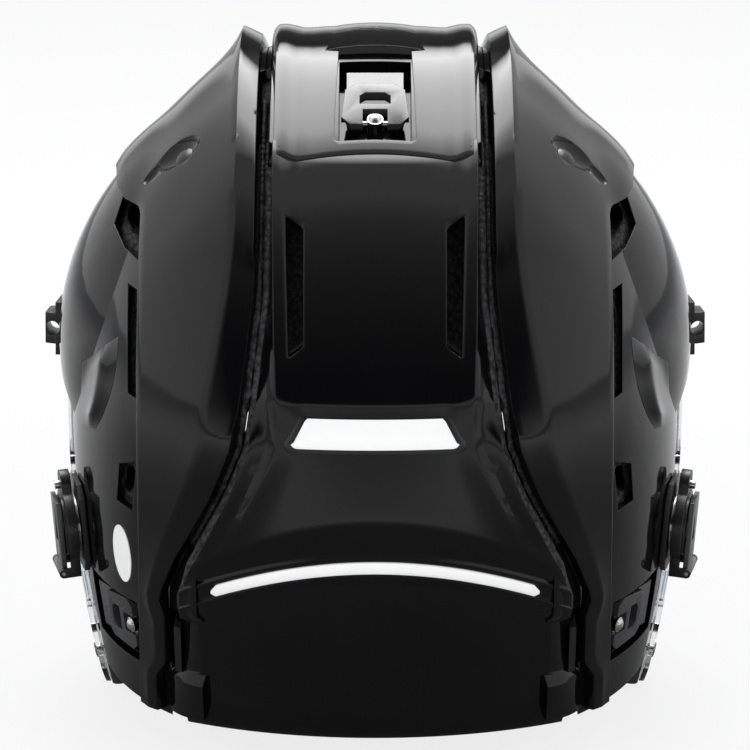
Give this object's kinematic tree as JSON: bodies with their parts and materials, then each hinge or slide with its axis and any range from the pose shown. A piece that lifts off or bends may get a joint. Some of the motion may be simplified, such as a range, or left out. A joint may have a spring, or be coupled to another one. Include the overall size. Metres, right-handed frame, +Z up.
{
  "type": "ice hockey helmet",
  "caption": "Child's ice hockey helmet with a sliding rear half, latch levers for sizing, clear ear guards and turning side clips.",
  "frame": {"origin": "on the ground under the middle of the shell, midway between the ears", "axes": "+Z up, the face opening towards -Y, the wearer's left at +X"},
  "size_m": [0.2082, 0.23, 0.2091],
  "materials": {
    "gloss_shell": "glossy black moulded plastic",
    "liner_foam": "grainy moulded bead foam",
    "comfort_pad": "soft fabric-faced foam",
    "clear_guard": "clear polished plastic",
    "matt_black": "fine-grained black nylon",
    "grey_lever": "satin grey plastic",
    "steel": "plain steel",
    "white_trim": "satin white",
    "strap_web": "woven black webbing"
  },
  "bodies": {
    "front_half": {"front_shell": "gloss_shell", "side_panel_left": "gloss_shell", "side_panel_right": "gloss_shell", "panel_screws": "steel", "front_foam": "liner_foam", "crown_foam": "liner_foam", "side_foam_left": "liner_foam", "side_foam_right": "liner_foam", "brow_pad": "comfort_pad", "crown_pad": "comfort_pad", "side_pad_left": "comfort_pad", "side_pad_right": "comfort_pad", "ear_guard_left": "clear_guard", "ear_guard_right": "clear_guard", "ear_guard_screws": "matt_black", "visor_inserts": "steel", "temple_clip_left": "matt_black", "temple_clip_right": "matt_black", "strap_rivets": "steel", "size_label": "white_trim", "clip_bracket_left": "matt_black", "clip_bracket_right": "matt_black", "clip_washers": "steel", "clip_screw_left": "steel", "clip_screw_right": "steel", "top_latch_tray": "matt_black", "top_latch_axle": "steel", "top_latch_post": "steel", "top_latch_nut": "steel", "side_latch_tray_left": "matt_black", "side_latch_tray_right": "matt_black", "side_latch_axles": "steel", "side_latch_posts": "steel", "side_lock_pins": "steel"},
    "rear_half": {"rear_shell": "gloss_shell", "name_plate": "white_trim", "rear_stripe": "white_trim", "rear_foam": "liner_foam", "rear_pad": "comfort_pad", "top_track": "matt_black", "side_track_left": "matt_black", "side_track_right": "matt_black"},
    "top_latch": {"top_latch_lever": "grey_lever"},
    "left_latch": {"side_latch_lever_left": "grey_lever"},
    "left_clip": {"clip_disc_left": "matt_black", "clip_pin_left": "steel", "flap_pin_left": "steel"},
    "left_clip_flap": {"clip_flap_left": "grey_lever"},
    "left_strap": {"strap_fold_left": "strap_web"},
    "right_latch": {"side_latch_lever_right": "grey_lever"},
    "right_clip": {"clip_disc_right": "matt_black", "clip_pin_right": "steel", "flap_pin_right": "steel"},
    "right_clip_flap": {"clip_flap_right": "grey_lever"},
    "right_strap": {"strap_fold_right": "strap_web"}
  },
  "joints": [
    {"name": "size_slide", "type": "slide", "parent": "front_half", "child": "rear_half", "axis": [0, 0.8747, -0.4847], "range_m": [0, 0.01]},
    {"name": "top_latch_flip", "type": "hinge", "parent": "front_half", "child": "top_latch", "pos_m": [0, 0.05286, 0.18957], "axis": [-1, 0, 0], "range_deg": [0, 95]},
    {"name": "left_latch_flip", "type": "hinge", "parent": "front_half", "child": "left_latch", "pos_m": [0.07222, 0.06174, 0.03751], "axis": [0.1263, 0.0728, 0.9893], "range_deg": [0, 95]},
    {"name": "left_clip_turn", "type": "hinge", "parent": "front_half", "child": "left_clip", "pos_m": [0.09059, 0.03002, 0.0596], "axis": [0.9725, 0.2199, -0.0765], "range_deg": [-40, 40]},
    {"name": "left_clip_flip", "type": "hinge", "parent": "left_clip", "child": "left_clip_flap", "pos_m": [0.09766, 0.03161, 0.0455], "axis": [-0.2205, 0.9754, 0], "range_deg": [0, 80]},
    {"name": "left_strap_swivel", "type": "hinge", "parent": "front_half", "child": "left_strap", "pos_m": [0.08685, 0.00345, 0.0095], "axis": [0.9748, 0.0265, -0.2214], "range_deg": [-5, 60]},
    {"name": "right_latch_flip", "type": "hinge", "parent": "front_half", "child": "right_latch", "pos_m": [-0.07222, 0.06174, 0.03751], "axis": [0.1263, -0.0728, -0.9893], "range_deg": [0, 95]},
    {"name": "right_clip_turn", "type": "hinge", "parent": "front_half", "child": "right_clip", "pos_m": [-0.09059, 0.03002, 0.0596], "axis": [0.9725, -0.2199, 0.0765], "range_deg": [-40, 40]},
    {"name": "right_clip_flip", "type": "hinge", "parent": "right_clip", "child": "right_clip_flap", "pos_m": [-0.09766, 0.03161, 0.0455], "axis": [-0.2205, -0.9754, 0], "range_deg": [0, 80]},
    {"name": "right_strap_swivel", "type": "hinge", "parent": "front_half", "child": "right_strap", "pos_m": [-0.08685, 0.00345, 0.0095], "axis": [0.9748, -0.0265, 0.2214], "range_deg": [-5, 60]}
  ]
}
